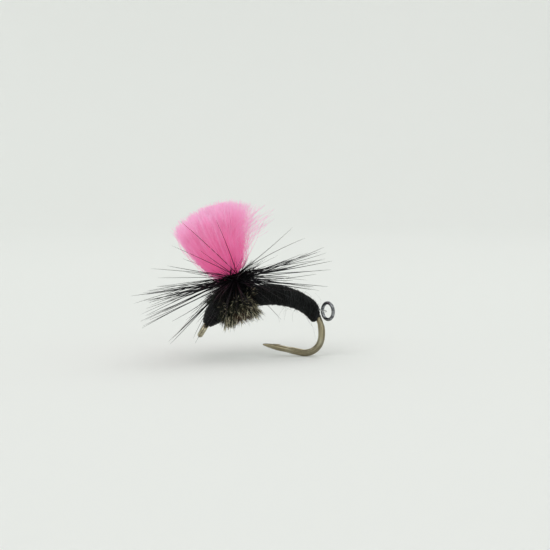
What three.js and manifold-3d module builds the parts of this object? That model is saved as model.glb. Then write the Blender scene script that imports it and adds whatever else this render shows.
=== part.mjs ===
// A parachute dry fly with a tippet ring at its bend, for trailing a second fly.
//
// Millimetres. The origin is the centre of the hook's eye, +X runs along the hook towards its bend,
// +Z is up, and the hook lies in the plane Y = 0. Everything tied to the hook is placed by its
// arc length s along the wire, its height `out` above the wire's middle line, and its side, +Y.
import * as THREE from "three";
import Module from "manifold-3d";
import { mergeVertices } from "three/addons/utils/BufferGeometryUtils.js";

const wasm = await Module();
wasm.setup();

// ---------------------------------------------------------------- driving dimensions

const GAP = 0.012; // between layers that lie on each other
const PAST = 0.1; // that a room runs on past the end of what it is cut for
const SIDES = 10; // of a layer on the wire
const WIRE_SIDES = 12;
const POST_SIDES = 16;

// Hook: the wire's middle line leaves the eye at SHANK_HEADING degrees above +X and then only
// turns downwards. Each arc is [length, turn in degrees].
const WIRE_R = 0.3;
const EYE_R = 0.52; // to the middle of the eye's wire
const EYE_WIRE_R = 0.28;
const SHANK_HEADING = 58;
const HOOK_ARCS = [
  [1.4, 10], // under the head
  [2.4, 28], // under the front of the thorax
  [3, 14], // under the post and the front of the body
  [3, 24],
  [2.2, 24], // under the rear of the body
  [1.8, 33],
  [1.6, 26], // bare back of the bend
  [2.6, 91], // bottom of the bend
  [4, 0], // point
];
const FORGED_FROM = 13.7; // the bend is pressed flat between these arc lengths
const FORGED_TO = 19.4;
const FORGED_EASE = 0.5;
const FORGED_HALF = 0.23; // half the thickness across the flats
const FORGED_WIDEN = 1.16; // the pressing spreads the wire in the hook's plane
const POINT_LENGTH = 1.5; // of the taper
const POINT_TIP_R = 0.02;
const BARB_BACK = 1.35; // from the point to the barb's root
const BARB_ROOT = 0.25; // of the barb's length stays in the wire
const BARB_DEPTH = 0.8; // its root is this far inside the wire, as a share of the wire's radius
const BARB_LENGTH = 0.5;
const BARB_LIFT = 0.2;
const BARB_HALF = 0.09;

// Ring on its nylon loop
const RING_R = 0.83; // to the middle of the ring's wire
const RING_WIRE_R = 0.17;
const RING_TURNED = 52; // degrees that the ring stands open towards -Y
const LOOP_R = 0.32; // of the bight's middle line, round the ring's wire
const NYLON_R = 0.11;
const LOOP_LEG = 0.2; // straight nylon between the bight and the body
const LOOP_DIP = 12; // degrees that the loop points below +X
const BIGHT = new THREE.Vector3(11.98, 0, 1.99); // centre of the bight, on the ring's wire

// Layers on the shank, by arc length
const BASE_FROM = 0.24;
const BASE_TO = 13.1;
const BASE_R = 0.36; // outside of the first layer of thread
const TAIL_FROM = 7.2;
const TAIL_LEAVES = 11.7; // the nylon lies along the shank up to here
const TAIL_STEP = 0.75;
const TAIL_SIDE = 0.17;
const TAIL_OUT = 0.52;
const TAIL_SPREADS = 12.05; // here the two tails have begun to part
const TAIL_SPREAD_SIDE = 0.22;
const TAIL_END = [0.16, 0.03]; // the last bend: length along the loop, and height above its line
const BINDING_FROM = 7;
const BINDING_TO = 12;
const BINDING_R = 0.74;
const BODY_FROM = 5.9;
const BODY_TO = 12.75;
const BODY_R = [1.02, 1.05, 1.03, 0.97, 0.9, 0.85, 0.8]; // evenly along the body
const BODY_LEAN = 0.7; // the body's rear end leans forward this much per millimetre outwards
const REAR_TO = 13.05;
const REAR_R = [0.72, 0.66, 0.45];

// Wing post, standing square on the shank
const POST_S = 4.6;
const STALK_R = 0.46;
const STALK_FOOT = 0.7; // height of the stalk's foot above the wire's middle line
const STALK_INTO_FAN = 0.1;
const FAN_APEX = 1.75; // height where the spread fibres would meet
const FAN_FROM = 0.95; // from the apex to where they spread
const FAN_TO = 8.2; // from the apex to their trimmed tips
const FAN_HALF_WIDE = 28; // degrees, in the hook's plane
const FAN_HALF_DEEP = 22; // degrees, across it
const FAN_LEAN = 5; // degrees further forward than the stalk
const BUTT_TO = 6.6; // end of the yarn's butt along the shank
const BUTT_STEP = 0.35;
const BUTT_R = 0.26;
const BUTT_OUT = BASE_R + BUTT_R + 0.03;
const CORE_FROM = 2.15; // thread that binds the butts down, under the herl
const CORE_TO = 5.85;
const CORE_R = [0.8, 0.98, 1.02, 1.02, 0.98, 0.95];
const COLLAR_FROM = 1.1; // heights above the wire's middle line
const COLLAR_TO = 2.68;
const COLLAR_R = 0.6;
const COLLAR_STANDS = 1.03; // the collar is hollowed out round the wire to this radius
const COLLAR_STANDS_HALF = 1.2; // half the length of that hollow

// Hackle: a feather's stem wound round the collar, with its barbs standing out
const TIE_OFF_FROM = 1.45;
const TIE_OFF_TO = 1.6;
const TIE_OFF_R = 0.72;
const STEM_R = 0.08;
const STEM_FROM = 1.75;
const STEM_PITCH = 0.2;
const STEM_TURNS = 4;
const BARBS = 46;
const BARB_ROOT_R = 0.045;
const BARB_TIP_R = 0.018;
const BARB_REACH = [8.4, 9.6]; // shortest and longest
const BARB_RISE = [-14, 14]; // degrees from the hackle's plane
const BARB_SEED = 7;
const HACKLE_ROOM_R = 1; // of the hollow in the herl round the hackle's foot
const HACKLE_ROOM_TO = 3;

// Herl thorax and head
const HERL_FROM = 2.1;
const HERL_TO = 5.87;
const HERL_R = 1.42;
const HERL_TURNS = 6;
const HERL_RIDGE = 0.12;
const HERL_SWELL = 0.14; // share by which the middle is thicker than the ends
const HEAD_FROM = 0.22;
const HEAD_TO = 2.08;
const HEAD_R = [0.46, 0.62, 0.77, 0.92, 1.04, 1.13, 1.2]; // evenly along the head
const WHIP_TO = 0.72; // the whip finish is the front of the head
const CEMENT_SKIN = 0.04;
const CEMENT_TO = 1.4;

// ---------------------------------------------------------------- the wire's middle line

const radians = THREE.MathUtils.degToRad;
const Y = new THREE.Vector3(0, 1, 0);

const hookStart = new THREE.Vector3(
  EYE_R * Math.cos(radians(SHANK_HEADING)),
  0,
  EYE_R * Math.sin(radians(SHANK_HEADING)),
);
const HOOK_LENGTH = HOOK_ARCS.reduce((sum, [length]) => sum + length, 0);

// The point and the heading, in radians, at arc length s.
function onWire(s) {
  let heading = radians(SHANK_HEADING);
  const at = hookStart.clone();
  let left = s;
  for (const [i, [length, turn]] of HOOK_ARCS.entries()) {
    const run = i < HOOK_ARCS.length - 1 ? Math.min(left, length) : left;
    const turned = radians(turn) * (run / length);
    const chord = turned ? (2 * run * Math.sin(turned / 2)) / turned : run;
    const middle = heading - turned / 2;
    at.x += chord * Math.cos(middle);
    at.z += chord * Math.sin(middle);
    heading -= turned;
    left -= run;
    if (left <= 0) break;
  }
  return { at, heading };
}

const along = (heading) => new THREE.Vector3(Math.cos(heading), 0, Math.sin(heading));
const outward = (heading) => new THREE.Vector3(-Math.sin(heading), 0, Math.cos(heading));

// The place at arc length s, `out` above the wire and `side` towards +Y.
function place(s, out = 0, side = 0) {
  const { at, heading } = onWire(s);
  return at.addScaledVector(outward(heading), out).addScaledVector(Y, side);
}

// Bends a straight geometry whose length runs along its own Y onto the wire. With a lean, the
// outer side slides forward along the wire, more and more from arc length `leanFrom` to BODY_TO.
function bend(geometry, lean = 0, leanFrom = BODY_FROM) {
  const position = geometry.getAttribute("position");
  for (let i = 0; i < position.count; i++) {
    const leaning = lean * THREE.MathUtils.smoothstep(position.getY(i), leanFrom, BODY_TO);
    const s = position.getY(i) - leaning * position.getX(i);
    const spot = place(s, position.getX(i), position.getZ(i));
    position.setXYZ(i, spot.x, spot.y, spot.z);
  }
  return geometry;
}

// ---------------------------------------------------------------- solids

// A manifold-3d solid of a closed geometry, turned to face out.
function solid(geometry) {
  const bare = geometry.clone();
  for (const name of Object.keys(bare.attributes)) {
    if (name !== "position") bare.deleteAttribute(name);
  }
  const merged = mergeVertices(bare, 1e-5);
  const vertProperties = merged.getAttribute("position").array;
  const triVerts = new Uint32Array(merged.index.array);
  const made = new wasm.Manifold(new wasm.Mesh({ numProp: 3, vertProperties, triVerts }));
  if (made.volume() > 0) return made;
  const turned = new wasm.Mesh({ numProp: 3, vertProperties, triVerts: triVerts.reverse() });
  return new wasm.Manifold(turned);
}

// A smooth value through evenly spaced ones, at a share from 0 to 1 of the way.
function through(values, share) {
  if (values.length === 1) return values[0];
  const at = THREE.MathUtils.clamp(share, 0, 1) * (values.length - 1);
  const i = Math.min(Math.floor(at), values.length - 2);
  const t = THREE.MathUtils.smoothstep(at - i, 0, 1);
  return THREE.MathUtils.lerp(values[i], values[i + 1], t);
}

// A solid of revolution round the wire from arc length s0 to s1, with its radius from a function.
function roundWire(s0, s1, radiusAt, steps, sides = SIDES) {
  const profile = [new THREE.Vector2(0, s0)];
  for (let i = 0; i <= steps; i++) {
    const share = i / steps;
    profile.push(new THREE.Vector2(radiusAt(share), THREE.MathUtils.lerp(s0, s1, share)));
  }
  profile.push(new THREE.Vector2(0, s1));
  return new THREE.LatheGeometry(profile, sides);
}

const layer = (s0, s1, radii, steps, lean = 0) =>
  solid(bend(roundWire(s0, s1, (share) => through(radii, share), steps), lean));

// A round tube of radius r along a curve.
function tube(curve, r, steps, sides = 8) {
  const circle = new THREE.EllipseCurve(0, 0, r, r).getSpacedPoints(sides);
  const section = new THREE.Shape(circle.slice(0, -1));
  return solid(new THREE.ExtrudeGeometry(section, { extrudePath: curve, steps, bevelEnabled: false }));
}

const postHeading = onWire(POST_S).heading;
const postFoot = place(POST_S);
const postAxis = outward(postHeading);
const postBack = along(postHeading);
const postFrame = new THREE.Matrix4()
  .makeBasis(postBack, postAxis, postBack.clone().cross(postAxis))
  .setPosition(postFoot);

// A cylinder round the post's axis, between two heights above the wire's middle line.
function roundPost(low, high, r, steps = 1) {
  const shape = new THREE.CylinderGeometry(r, r, high - low, POST_SIDES, steps);
  shape.translate(0, (low + high) / 2, 0);
  return solid(shape.applyMatrix4(postFrame));
}

// ---------------------------------------------------------------- hook

// How flat the wire is pressed at arc length s, from 0 to 1.
function forging(s) {
  const start = THREE.MathUtils.smoothstep(s, FORGED_FROM, FORGED_FROM + FORGED_EASE);
  return start * (1 - THREE.MathUtils.smoothstep(s, FORGED_TO - FORGED_EASE, FORGED_TO));
}

function wireRadius(s) {
  const toPoint = (HOOK_LENGTH - s) / POINT_LENGTH;
  return toPoint >= 1 ? WIRE_R : THREE.MathUtils.lerp(POINT_TIP_R, WIRE_R, Math.sqrt(toPoint));
}

function hookSolid() {
  const wire = roundWire(0, HOOK_LENGTH, (share) => wireRadius(share * HOOK_LENGTH), 64, WIRE_SIDES);
  const position = wire.getAttribute("position");
  for (let i = 0; i < position.count; i++) {
    const pressed = forging(position.getY(i));
    const half = THREE.MathUtils.lerp(WIRE_R, FORGED_HALF, pressed);
    position.setX(i, position.getX(i) * THREE.MathUtils.lerp(1, FORGED_WIDEN, pressed));
    position.setZ(i, THREE.MathUtils.clamp(position.getZ(i), -half, half));
  }
  const eye = new THREE.TorusGeometry(EYE_R, EYE_WIRE_R, 8, 20);
  const heading = radians(SHANK_HEADING);
  eye.applyMatrix4(new THREE.Matrix4().makeBasis(along(heading), Y, outward(heading)));
  return solid(bend(wire)).add(solid(eye)).add(barbSolid());
}

// A sliver cut up from the inside of the point, leaning back towards the bend.
function barbSolid() {
  const root = HOOK_LENGTH - BARB_BACK;
  const inside = -wireRadius(root) * BARB_DEPTH;
  const sliver = new THREE.Shape([
    new THREE.Vector2(inside, root + BARB_ROOT),
    new THREE.Vector2(inside - BARB_LIFT, root - BARB_LENGTH),
    new THREE.Vector2(inside, root - BARB_LENGTH / 2),
  ]);
  const wedge = new THREE.ExtrudeGeometry(sliver, { depth: 2 * BARB_HALF, bevelEnabled: false });
  return solid(bend(wedge.translate(0, 0, -BARB_HALF)));
}

// ---------------------------------------------------------------- ring and its nylon loop

const loopAim = along(radians(-LOOP_DIP));

// The middle line of one tail: along the top of the shank, then out to the loop's root.
function tailCurve(side) {
  const points = [];
  for (let s = TAIL_FROM; s <= TAIL_LEAVES; s += TAIL_STEP) {
    points.push(place(s, TAIL_OUT, side * TAIL_SIDE));
  }
  points.push(place(TAIL_SPREADS, TAIL_OUT, side * TAIL_SPREAD_SIDE));
  const root = BIGHT.clone().addScaledVector(loopAim, -LOOP_LEG - GAP).addScaledVector(Y, side * LOOP_R);
  const [before, above] = TAIL_END;
  points.push(root.clone().addScaledVector(loopAim, -before).add(new THREE.Vector3(0, 0, above)));
  points.push(root);
  return new THREE.CatmullRomCurve3(points);
}

// The bight lies in the plane of Y and loopAim, with a short straight leg at each end.
function loopCurve() {
  const points = [];
  for (const leg of [1, 0.5]) {
    points.push(BIGHT.clone().addScaledVector(loopAim, -LOOP_LEG * leg).addScaledVector(Y, -LOOP_R));
  }
  for (let degrees = -90; degrees <= 90; degrees += 22.5) {
    const a = radians(degrees);
    points.push(
      BIGHT.clone()
        .addScaledVector(loopAim, LOOP_R * Math.cos(a))
        .addScaledVector(Y, LOOP_R * Math.sin(a)),
    );
  }
  for (const leg of [0.5, 1]) {
    points.push(BIGHT.clone().addScaledVector(loopAim, -LOOP_LEG * leg).addScaledVector(Y, LOOP_R));
  }
  return new THREE.CatmullRomCurve3(points);
}

function ringGeometry() {
  const ring = new THREE.TorusGeometry(RING_R, RING_WIRE_R, 10, 32);
  ring.rotateX(Math.PI / 2); // into the plane of X and Z
  ring.translate(RING_R, 0, 0); // its wire now passes through the origin
  ring.rotateZ(radians(-RING_TURNED));
  return ring.translate(BIGHT.x, BIGHT.y, BIGHT.z);
}

// ---------------------------------------------------------------- wing post

// Fibres of one length spread into a fan, so its top is part of a ball about their apex.
function fanSolid() {
  const profile = [new THREE.Vector2(0, FAN_FROM)];
  for (const share of [0, 0.25, 0.5, 0.75, 1]) {
    profile.push(new THREE.Vector2(1, THREE.MathUtils.lerp(FAN_FROM, FAN_TO, share)));
  }
  for (const inner of [0.75, 0.5, 0.25, 0]) profile.push(new THREE.Vector2(inner, FAN_TO));
  const fan = new THREE.LatheGeometry(profile, 20);
  const position = fan.getAttribute("position");
  for (let i = 0; i < position.count; i++) {
    const d = position.getY(i);
    const wide = position.getX(i) * d * Math.sin(radians(FAN_HALF_WIDE));
    const deep = position.getZ(i) * d * Math.sin(radians(FAN_HALF_DEEP));
    position.setXYZ(i, wide, Math.sqrt(d * d - wide * wide - deep * deep), deep);
  }
  fan.rotateZ(radians(FAN_LEAN)).translate(0, FAN_APEX, 0);
  return solid(fan.applyMatrix4(postFrame));
}

function postSolid() {
  const stalk = roundPost(STALK_FOOT, FAN_APEX + FAN_FROM + STALK_INTO_FAN, STALK_R, 3);
  return fanSolid().add(stalk).add(butt(0, BUTT_R));
}

// The yarn's butt along the shank, started `early` ahead of the post.
function butt(early, r) {
  const points = [];
  for (let s = POST_S - early; s <= BUTT_TO; s += BUTT_STEP) points.push(place(s, BUTT_OUT));
  return tube(new THREE.CatmullRomCurve3(points), r, 8);
}

// ---------------------------------------------------------------- hackle

// A fixed sequence of numbers from 0 to 1.
function numbers(seed) {
  let state = seed;
  return () => {
    state = (state * 1664525 + 1013904223) % 4294967296;
    return state / 4294967296;
  };
}

function stemPoint(share) {
  const turn = share * STEM_TURNS * 2 * Math.PI;
  const r = COLLAR_R + GAP + STEM_R;
  const high = STEM_FROM + share * STEM_TURNS * STEM_PITCH;
  return new THREE.Vector3(r * Math.cos(turn), high, r * Math.sin(turn)).applyMatrix4(postFrame);
}

function hackleSolid() {
  const points = [];
  const steps = STEM_TURNS * 10;
  for (let i = 0; i <= steps; i++) points.push(stemPoint(i / steps));
  const pieces = [tube(new THREE.CatmullRomCurve3(points), STEM_R, steps, 5)];
  const next = numbers(BARB_SEED);
  for (let i = 0; i < BARBS; i++) {
    const share = (i + 0.5) / BARBS;
    const root = stemPoint(share);
    const angle = share * STEM_TURNS * 2 * Math.PI;
    const reach = THREE.MathUtils.lerp(...BARB_REACH, next());
    const rise = radians(THREE.MathUtils.lerp(...BARB_RISE, next()));
    const aim = new THREE.Vector3(
      Math.cos(angle) * Math.cos(rise),
      Math.sin(rise),
      Math.sin(angle) * Math.cos(rise),
    ).transformDirection(postFrame);
    const barb = new THREE.CylinderGeometry(BARB_TIP_R, BARB_ROOT_R, reach, 3);
    barb.translate(0, reach / 2, 0);
    barb.applyQuaternion(new THREE.Quaternion().setFromUnitVectors(Y, aim));
    barb.translate(root.x, root.y, root.z);
    pieces.push(solid(barb));
  }
  return wasm.Manifold.union(pieces);
}

// ---------------------------------------------------------------- assembly

const materials = {
  bronze: new THREE.MeshStandardMaterial({ color: 0x8a7a55, roughness: 0.3, metalness: 1 }),
  steel: new THREE.MeshStandardMaterial({ color: 0x8c8f92, roughness: 0.25, metalness: 1 }),
  nylon: new THREE.MeshStandardMaterial({ color: 0xe6e8e6, roughness: 0.1, metalness: 0 }),
  thread: new THREE.MeshStandardMaterial({ color: 0x0b0c0e, roughness: 0.5, metalness: 0 }),
  wool: new THREE.MeshStandardMaterial({ color: 0x0c0e0f, roughness: 0.95, metalness: 0 }),
  yarn: new THREE.MeshStandardMaterial({ color: 0xe06aa8, roughness: 0.8, metalness: 0 }),
  feather: new THREE.MeshStandardMaterial({ color: 0x0a0c0e, roughness: 0.35, metalness: 0 }),
  herl: new THREE.MeshStandardMaterial({ color: 0x2c2a1a, roughness: 0.5, metalness: 0.2 }),
  varnish: new THREE.MeshStandardMaterial({ color: 0x1a1c1e, roughness: 0.08, metalness: 0 }),
};

const fly = new THREE.Group();

function add(name, made, material) {
  const { numProp, vertProperties, triVerts } = made.getMesh();
  const geometry = new THREE.BufferGeometry();
  const points = new Float32Array((vertProperties.length / numProp) * 3);
  for (let i = 0; i < points.length / 3; i++) {
    points.set(vertProperties.subarray(i * numProp, i * numProp + 3), i * 3);
  }
  geometry.setAttribute("position", new THREE.BufferAttribute(points, 3));
  geometry.setIndex(new THREE.BufferAttribute(new Uint32Array(triVerts), 1));
  geometry.computeVertexNormals();
  const mesh = new THREE.Mesh(geometry, material);
  mesh.name = name;
  fly.add(mesh);
}

// Room for the wire, the first layer of thread and the two nylon tails, for cutting outer layers.
const wireRoom = layer(-PAST, HOOK_LENGTH - POINT_LENGTH, [WIRE_R + GAP], 44);
const baseRoom = layer(BASE_FROM - PAST, BASE_TO + PAST, [BASE_R + GAP], 26);
const tailRooms = [-1, 1].map((side) => tube(tailCurve(side), NYLON_R + GAP, 16));
const bindingRoom = layer(BINDING_FROM - GAP, BINDING_TO + GAP, [BINDING_R + GAP], 12);
const cut = (made, ...rooms) => rooms.reduce((rest, room) => rest.subtract(room), made);

add("hook", hookSolid(), materials.bronze);
add("tippet_ring", solid(ringGeometry()), materials.steel);
add("mono_loop", tube(loopCurve(), NYLON_R, 26), materials.nylon);
add("loop_tail_near", tube(tailCurve(-1), NYLON_R, 16), materials.nylon);
add("loop_tail_far", tube(tailCurve(1), NYLON_R, 16), materials.nylon);

const base = layer(BASE_FROM, BASE_TO, [BASE_R], 26);
add("thread_base", cut(base, wireRoom), materials.thread);
const binding = layer(BINDING_FROM, BINDING_TO, [BINDING_R], 12);
add("tail_binding", cut(binding, baseRoom, ...tailRooms), materials.thread);
const body = layer(BODY_FROM, BODY_TO, BODY_R, 18, BODY_LEAN);
const buttRoom = layer(BODY_FROM - PAST, BUTT_TO + PAST, [BUTT_OUT + BUTT_R + 2 * GAP], 4);
add("abdomen", cut(body, baseRoom, bindingRoom, buttRoom, ...tailRooms), materials.wool);
const rear = layer(BODY_TO + GAP, REAR_TO, REAR_R, 5, BODY_LEAN);
add("rear_wraps", cut(rear, baseRoom, ...tailRooms), materials.thread);

add("post_yarn", postSolid(), materials.yarn);
const stalkRoom = roundPost(0, COLLAR_TO + PAST, STALK_R + GAP);
const collarRoom = roundPost(0, COLLAR_TO + PAST, COLLAR_R + GAP);
const core = layer(CORE_FROM, CORE_TO, CORE_R, 12);
const buttChannel = butt(PAST, BUTT_R + GAP);
add("post_binding", cut(core, baseRoom, stalkRoom, buttChannel), materials.thread);
const collar = roundPost(COLLAR_FROM, COLLAR_TO, COLLAR_R, 4);
const saddle = layer(POST_S - COLLAR_STANDS_HALF, POST_S + COLLAR_STANDS_HALF, [COLLAR_STANDS], 8);
add("post_collar", cut(collar, fanSolid(), stalkRoom, saddle), materials.thread);
const tieOff = roundPost(TIE_OFF_FROM, TIE_OFF_TO, TIE_OFF_R);
add("hackle_tie_off", cut(tieOff, collarRoom), materials.thread);
add("hackle_feather", cut(hackleSolid(), collarRoom), materials.feather);

// Ridges of the herl's turns, with the flue that stands out from each.
const herlRadius = (share) =>
  HERL_R * (1 - HERL_SWELL + HERL_SWELL * Math.sin(Math.PI * share)) -
  HERL_RIDGE * Math.abs(Math.cos(Math.PI * HERL_TURNS * share));
const herl = solid(bend(roundWire(HERL_FROM, HERL_TO, herlRadius, 24)));
const coreRoom = layer(CORE_FROM - PAST, CORE_TO + PAST, CORE_R.map((r) => r + 2 * GAP), 12);
const hackleRoom = roundPost(TIE_OFF_FROM - GAP, HACKLE_ROOM_TO, HACKLE_ROOM_R);
add("peacock_herl", cut(herl, coreRoom, collarRoom, hackleRoom), materials.herl);

// The head is one cone: its front is the whip finish, and both are under a skin of cement.
const headRadius = (s) => through(HEAD_R, (s - HEAD_FROM) / (HEAD_TO - HEAD_FROM));
const headPart = (from, to, steps) =>
  solid(bend(roundWire(from, to, (share) => headRadius(from + (to - from) * share), steps)));
add("whip_finish", cut(headPart(HEAD_FROM, WHIP_TO, 3), baseRoom), materials.thread);
add("head_wraps", cut(headPart(WHIP_TO + GAP, HEAD_TO, 7), baseRoom), materials.thread);

const skin = [];
const skinSteps = 7;
for (let i = 0; i <= skinSteps; i++) {
  const at = THREE.MathUtils.lerp(HEAD_FROM, CEMENT_TO, i / skinSteps);
  skin.push(new THREE.Vector2(headRadius(at) + GAP, at));
}
for (const { x, y } of [...skin].reverse()) skin.push(new THREE.Vector2(x + CEMENT_SKIN, y));
skin.push(skin[0].clone());
add("head_cement", solid(bend(new THREE.LatheGeometry(skin, SIDES))), materials.varnish);

export default fly;
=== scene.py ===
"""A parachute dry fly: its fibres, thread, wire and finishes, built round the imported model.

Sizes are in millimetres and become metres when a mesh is made. The hook lies in the plane y = 0.
What is tied to it is placed by its arc length s along the wire, its height `out` above the wire's
middle line, and its side, towards +Y. What is tied to the wing post is placed by its distance r
from the post's axis, its angle round it, and its height above the wire's middle line.
"""

import math

import bpy
import numpy as np
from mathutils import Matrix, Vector


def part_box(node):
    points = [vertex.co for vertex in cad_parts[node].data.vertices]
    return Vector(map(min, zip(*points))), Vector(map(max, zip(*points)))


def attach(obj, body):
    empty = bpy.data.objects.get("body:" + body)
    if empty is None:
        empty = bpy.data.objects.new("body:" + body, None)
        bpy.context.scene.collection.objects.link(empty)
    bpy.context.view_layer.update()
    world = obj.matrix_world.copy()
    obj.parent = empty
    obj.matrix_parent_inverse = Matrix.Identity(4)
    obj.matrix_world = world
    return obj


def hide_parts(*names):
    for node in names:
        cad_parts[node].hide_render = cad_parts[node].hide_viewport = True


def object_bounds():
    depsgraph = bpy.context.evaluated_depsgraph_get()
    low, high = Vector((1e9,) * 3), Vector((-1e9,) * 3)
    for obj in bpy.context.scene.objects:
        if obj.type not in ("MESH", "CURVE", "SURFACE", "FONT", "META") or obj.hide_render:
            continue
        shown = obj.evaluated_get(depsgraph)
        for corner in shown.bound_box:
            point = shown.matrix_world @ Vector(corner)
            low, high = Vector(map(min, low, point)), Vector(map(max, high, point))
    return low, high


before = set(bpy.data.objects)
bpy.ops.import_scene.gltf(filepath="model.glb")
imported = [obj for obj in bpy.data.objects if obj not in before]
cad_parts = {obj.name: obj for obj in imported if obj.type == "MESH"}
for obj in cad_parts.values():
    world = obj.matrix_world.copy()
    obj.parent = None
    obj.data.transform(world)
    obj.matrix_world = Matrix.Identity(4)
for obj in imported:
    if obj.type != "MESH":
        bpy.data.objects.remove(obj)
cad_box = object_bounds()

MM = 0.001
TURN = 2 * math.pi
UV_MAP = "OFBake"  # u is a fibre's own shade, or runs round the hook's wire; v runs from root to tip
UV_WIDTH = 0.02  # of one fibre in u
UV_CAP = 0.004  # half the height in v of a fibre's end

# ---- driving dimensions

# Hook, as in the CAD: arcs of (length, turn in degrees) from the eye to the point.
HOOK_ARCS = [(1.4, 10), (2.4, 28), (3, 14), (3, 24), (2.2, 24), (1.8, 33), (1.6, 26), (2.6, 91), (4, 0)]
TABLE_STEP = 0.005  # along the wire, in the table of its middle line
SHANK_HEADING = 58  # degrees up from +X at the eye
WIRE_R = 0.3
WIRE_SIDES, WIRE_STEP = 32, 0.08
EYE_R = 0.52
EYE_WIRE_R = 0.28
EYE_OPENING = 14  # degrees on each side of the shank
EYE_END, EYE_END_R = 9, 0.35  # degrees over which its ends round off, and to what share of its area
FORGED_FROM, FORGED_TO, FORGED_EASE = 13.7, 19.4, 0.5
FORGED_HALF = 0.23  # half the wire's thickness where it is pressed flat
FORGED_WIDEN = 1.16
POINT_LENGTH = 1.5
POINT_TIP_R = 0.012
BARB_BACK = 1.35  # from the point's tip to the barb's foot
BARB_LENGTH = 0.5
BARB_LIFT = 0.2
BARB_ROOT = 0.3  # how far its foot runs on along the wire
BARB_DEPTH = 0.72  # of its foot in the wire, as a share of the wire's radius
BARB_HALF_HIGH, BARB_HALF_WIDE, BARB_TIP = 0.07, 0.1, 0.006

BASE_FROM, BASE_TO, BASE_R = 0.24, 13.1, 0.36
BODY_FROM, BODY_TO = 5.5, 12.75
BODY_R = [1.02, 1.05, 1.03, 0.97, 0.9, 0.85, 0.8]
BODY_R_FROM = 5.9  # where the first of these radii is
BODY_LEAN = 0.7  # how far its rear end slides forward, for each mm outwards
BODY_END_LENGTH, BODY_END_R = 0.3, 0.72  # where its rear end rounds off, and to what share of its radius
STRAND_PITCH = 0.62  # of the dubbed strand that the body is wound from
CORE_UNDER, CORE_RIDGE, CORE_LUMP = 0.075, 0.015, 0.025  # the core under the body's fibres
REAR_TO = 13.05
REAR_TURNS, REAR_R, REAR_FALL = 7, 0.72, 0.3  # thread behind the body, narrowing to the rear
REAR_LAP = 0.1  # of its first turn under the body
HEAD_FROM, HEAD_TO, WHIP_TO, CEMENT_TO = 0.22, 2.08, 0.72, 1.4
HEAD_R = [0.46, 0.62, 0.77, 0.92, 1.04, 1.13, 1.2]
CEMENT_OVER, CEMENT_THICK = 0.03, 0.03
CEMENT_RIPPLE, CEMENT_POOLED = 0.012, 0.012  # over each turn of thread, and as a share of r underneath
HERL_FROM, HERL_TO, HERL_MIDDLE = 2.1, 5.87, 4.0
HERL_TURNS, HERL_QUILL_R = 8, 0.085
HERL_CORE_R, HERL_BULGE = 1.04, 0.16  # of the stem's coil at its ends, and its swell between them
HERL_POST_GAP = 0.6  # on each side of the post, where no flue stands

RING_R, RING_WIRE_R, RING_TURNED = 0.83, 0.17, 52  # degrees from +X towards -Y
WELD_AT, WELD_WIDE, WELD_HIGH = 0.5, 0.06, 0.05  # in radians round the ring, and as a share of its wire
NICK_AT, NICK_WIDE, NICK_DEEP = 0.62, 0.03, 0.04
LOOP_R, NYLON_R, LOOP_LEG, LOOP_DIP = 0.32, 0.11, 0.2, 12  # degrees down
BIGHT = np.array([11.98, 0, 1.99])
# The nylon's tails lie along the shank, then come to the loop's legs a little from above.
TAIL_OUT, TAIL_SIDE = 0.52, 0.17
TAIL_FROM, TAIL_TO, TAIL_STEP = 7.2, 11.71, 0.75
LEAVING_S, LEAVING_SIDE = 12.05, 0.22
LOOP_RUN_IN, LOOP_RISE = 0.16, 0.03

POST_S = 4.6
FAN_APEX = 1.75  # height on the post's axis from which the fan's fibres spread
FAN_TO = 8.2  # from the apex to the fibres' tips
FAN_HALF_WIDE, FAN_HALF_DEEP, FAN_LEAN = 28, 22, 5  # degrees; it leans forwards
# How much wider than at its top the fan is at a distance from its apex: forwards, behind and across.
FAN_SPREAD = [(2.2, 1.8, 1.05, 1.35), (3.9, 1.5, 1.03, 1.15), (6.0, 1.23, 0.98, 1.05)]
FLARE_HALF = 0.5  # radians from the fan's axis, past which the flare grows no more
COLLAR_FROM, COLLAR_TO, COLLAR_R = 0.8, 2.68, 0.6
YARN_FROM, YARN_RIM_R = 1.0, 0.4  # height of the fibres' roots, and how wide they pass the collar's rim
STEM_R, STEM_FROM, STEM_PITCH, STEM_TURNS = 0.08, 1.75, 0.2, 4  # of the feather wound on the collar
GAP = 0.012

THREAD_R = 0.045
PLUG_SIDES = 32  # of the closed solids under the thread
TIE_FROM, TIE_TO, TIE_TURNS, TIE_R = 1.47, 1.59, 3, 0.68

# Fibres: how many, the ranges of their lengths and radii, and their droop and scatter in degrees.
WOOL_FIBRES, WOOL_FIBRE_R = 1500, (0.016, 0.034)
FUZZ_FIBRES, FUZZ_LENGTH, FUZZ_R = 800, (0.1, 0.34), 0.011
LOOSE_FIBRES, LOOSE_LENGTH, LOOSE_R = 60, (0.9, 2.2), 0.0085
HERL_LOCKS, HERL_PER_LOCK = 1450, 5
HERL_LENGTH, HERL_LONG, HERL_LONG_SHARE = (0.8, 1.5), 1.85, 0.07
# The pale flue strands, painted glints off the shiny flue, are this much thicker.
HERL_FIBRE_R, HERL_GLINT_SWELL = (0.014, 0.026), 1.7
YARN_LOCKS, YARN_PER_LOCK, YARN_R = 500, 7, (0.017, 0.027)
STRAYS, STRAY_LENGTH, STRAY_R = 230, (6.2, 8.4), (0.011, 0.017)
STRAY_FRONT, STRAY_REAR, STRAY_SIDE = -0.55, 0.84, 0.5  # the widest angles from the fan's axis, in radians
HACKLE_CLUMPS, HACKLE_PER_CLUMP = 53, 3
HACKLE_LENGTH, HACKLE_R, HACKLE_DROOP, HACKLE_SCATTER = (8.2, 9.6), (0.036, 0.05), 8, 9.2
HACKLE_SHORTER, HACKLE_SHORT_SHARE = 2.2, 0.15
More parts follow.
